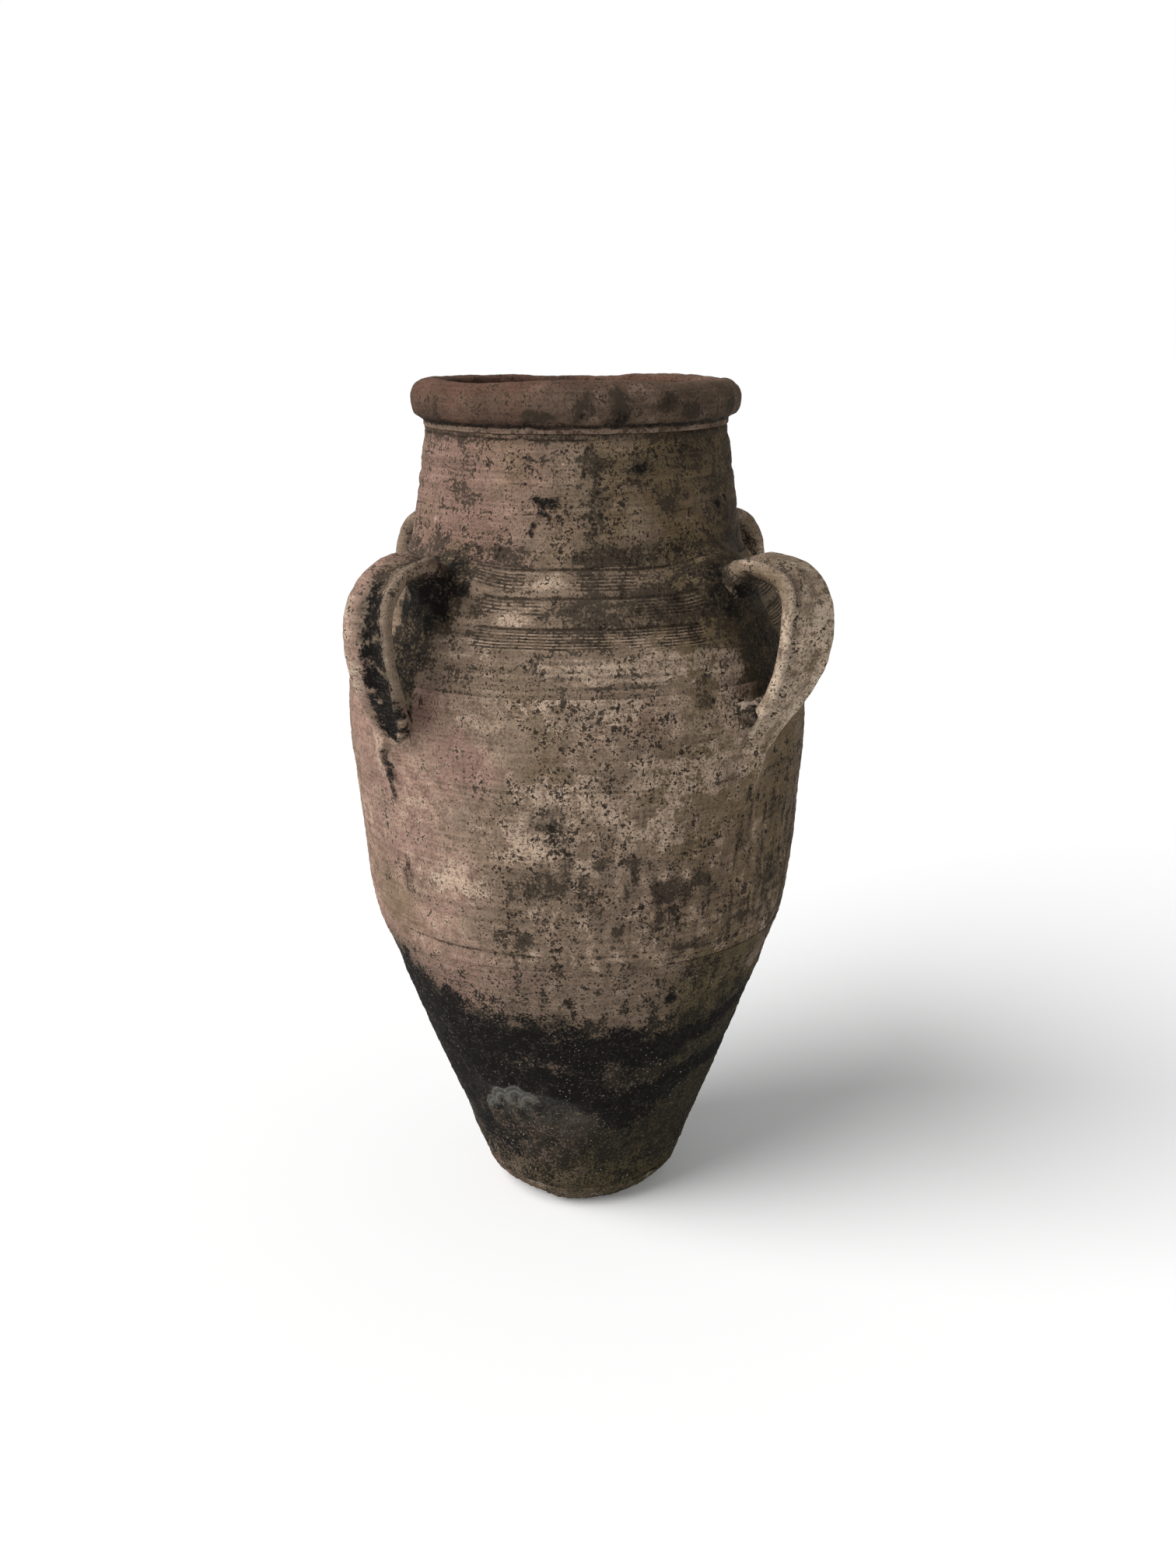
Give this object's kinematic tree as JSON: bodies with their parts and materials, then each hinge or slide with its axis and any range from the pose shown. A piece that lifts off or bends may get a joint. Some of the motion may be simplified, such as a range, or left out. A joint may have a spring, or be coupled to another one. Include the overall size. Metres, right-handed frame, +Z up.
{
  "type": "olive jar",
  "caption": "Tall earthenware storage jar with a conical base, full belly, combed shoulder, tapered neck, rolled rim and ribbed strap handles.",
  "frame": {"origin": "middle of the foot, on the floor", "axes": "+Z up along the jar's axis; +X points along the front right handle, to within 2 degrees, and +Y along the back right one"},
  "size_m": [0.5185, 0.5183, 0.75],
  "materials": {
    "sooty_clay": "matt fired clay, blackened by soot and damp",
    "weathered_clay": "matt fired clay, weathered, stained and pitted",
    "rim_clay": "matt fired clay, rubbed reddish brown",
    "handle_clay": "matt fired clay, soot in the channel",
    "wad_clay": "matt fired clay, rough where it was pressed in"
  },
  "bodies": {
    "root": {"foot_disc": "sooty_clay", "lower_wall": "sooty_clay", "belly_wall": "weathered_clay", "shoulder_wall": "weathered_clay", "neck_wall": "weathered_clay", "rim_roll": "rim_clay", "handle_front_right": "handle_clay", "upper_wad_front_right": "wad_clay", "lower_wad_front_right": "wad_clay", "handle_back_right": "handle_clay", "upper_wad_back_right": "wad_clay", "lower_wad_back_right": "wad_clay", "handle_back_left": "handle_clay", "upper_wad_back_left": "wad_clay", "lower_wad_back_left": "wad_clay", "handle_front_left": "handle_clay", "upper_wad_front_left": "wad_clay", "lower_wad_front_left": "wad_clay"}
  },
  "joints": []
}
